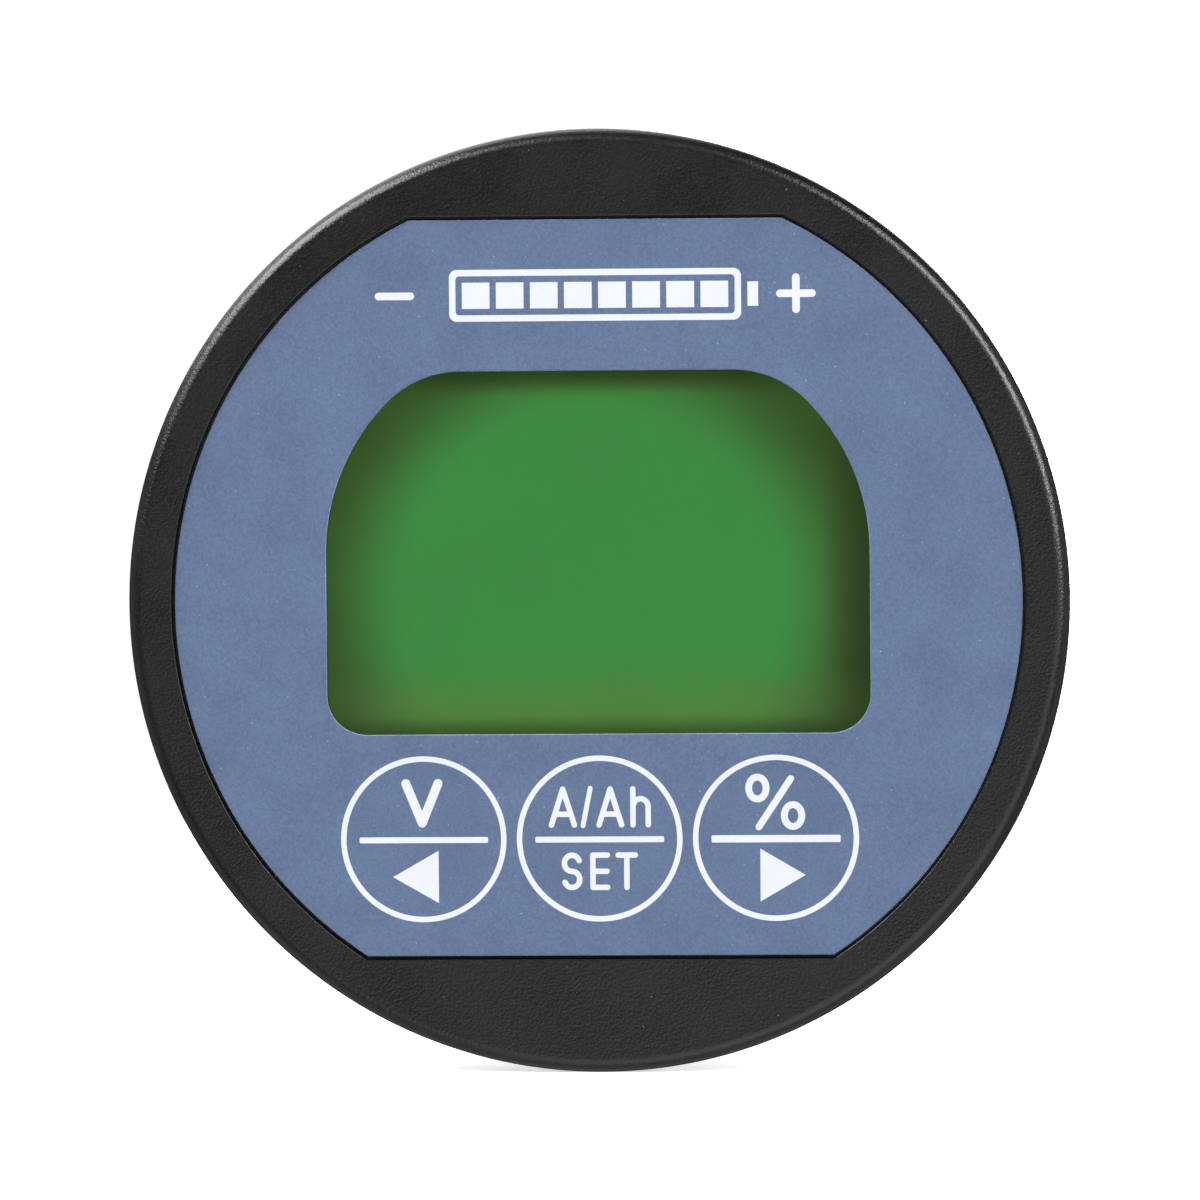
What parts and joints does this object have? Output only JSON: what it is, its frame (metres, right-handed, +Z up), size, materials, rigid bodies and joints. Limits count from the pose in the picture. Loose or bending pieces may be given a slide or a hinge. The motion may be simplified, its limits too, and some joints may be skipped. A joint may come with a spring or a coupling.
{
  "type": "battery monitor display",
  "caption": "Round panel-mount battery monitor display: dark ring bezel, blue-grey overlay, green LCD window, flush film keys, threaded can with washer and ring nut behind.",
  "frame": {"origin": "on the display's axis, in the plane where the rear face of the panel gasket meets the panel's front face", "axes": "+Y points back through the panel and out of the rear of the can, so the display faces -Y; +Z is up; +X is to the right for a person looking at the display"},
  "size_m": [0.062, 0.0196, 0.062],
  "materials": {
    "bezel_plastic": "fine moulded grain",
    "case_plastic": "fine moulded grain",
    "gasket_rubber": "matt",
    "foam_rubber": "matt",
    "printed_film": "velvet-textured polyester, back-printed",
    "clear_adhesive": "translucent",
    "clear_lens": "polished clear acrylic",
    "polarizer_film": "satin",
    "display_glass": "polished",
    "light_guide": "frosted clear",
    "led_package": "satin",
    "white_plastic": "satin",
    "tinned_metal": "bright tin plate",
    "circuit_board": "solder-mask green",
    "switch_plastic": "satin",
    "chip_plastic": "matt moulded",
    "resistor_ceramic": "satin",
    "stamped_steel": "satin nickel plate",
    "capacitor_can": "satin",
    "key_plastic": "satin",
    "nut_plastic": "fine moulded grain"
  },
  "bodies": {
    "head": {"front_bezel": "bezel_plastic", "rear_can": "case_plastic", "panel_gasket": "gasket_rubber", "overlay_sheet": "printed_film", "overlay_adhesive": "clear_adhesive", "window_lens": "clear_lens", "dust_foam": "foam_rubber", "lcd_front_polarizer": "polarizer_film", "lcd_front_glass": "display_glass", "lcd_rear_glass": "display_glass", "lcd_rear_film": "polarizer_film", "backlight_guide": "light_guide", "backlight_leds": "led_package", "lcd_holder": "white_plastic", "lcd_pins": "tinned_metal", "main_board": "circuit_board", "switch_body_left": "switch_plastic", "switch_body_centre": "switch_plastic", "switch_body_right": "switch_plastic", "switch_cover_left": "stamped_steel", "switch_cover_centre": "stamped_steel", "switch_cover_right": "stamped_steel", "microcontroller": "chip_plastic", "display_driver": "chip_plastic", "memory_chip": "chip_plastic", "voltage_regulator": "chip_plastic", "chip_leads": "tinned_metal", "crystal": "stamped_steel", "smoothing_capacitor": "capacitor_can", "chip_resistors": "resistor_ceramic", "data_socket": "white_plastic", "data_socket_pins": "tinned_metal", "case_screws": "stamped_steel"},
    "key_left": {"key_film_left": "printed_film", "key_cap_left": "key_plastic", "key_stem_left": "white_plastic"},
    "key_centre": {"key_film_centre": "printed_film", "key_cap_centre": "key_plastic", "key_stem_centre": "white_plastic"},
    "key_right": {"key_film_right": "printed_film", "key_cap_right": "key_plastic", "key_stem_right": "white_plastic"},
    "washer": {"clamp_washer": "stamped_steel"},
    "nut": {"ring_nut": "nut_plastic"}
  },
  "joints": [
    {"name": "key_left_press", "type": "slide", "parent": "head", "child": "key_left", "axis": [0, 1, 0], "range_m": [0, 0.0003], "stiffness_N_per_m": 5000},
    {"name": "key_centre_press", "type": "slide", "parent": "head", "child": "key_centre", "axis": [0, 1, 0], "range_m": [0, 0.0003], "stiffness_N_per_m": 5000},
    {"name": "key_right_press", "type": "slide", "parent": "head", "child": "key_right", "axis": [0, 1, 0], "range_m": [0, 0.0003], "stiffness_N_per_m": 5000},
    {"name": "nut_travel", "type": "slide", "parent": "head", "child": "washer", "axis": [0, 1, 0], "range_m": [-0.002, 0.005]},
    {"name": "nut_turn", "type": "hinge", "parent": "washer", "child": "nut", "pos_m": [0, 0, 0], "axis": [0, 1, 0], "range_deg": [-360, 900]}
  ],
  "couplings": [
    {"joint": "nut_travel", "follows": "nut_turn", "m_per_rad": 0.0003183}
  ]
}
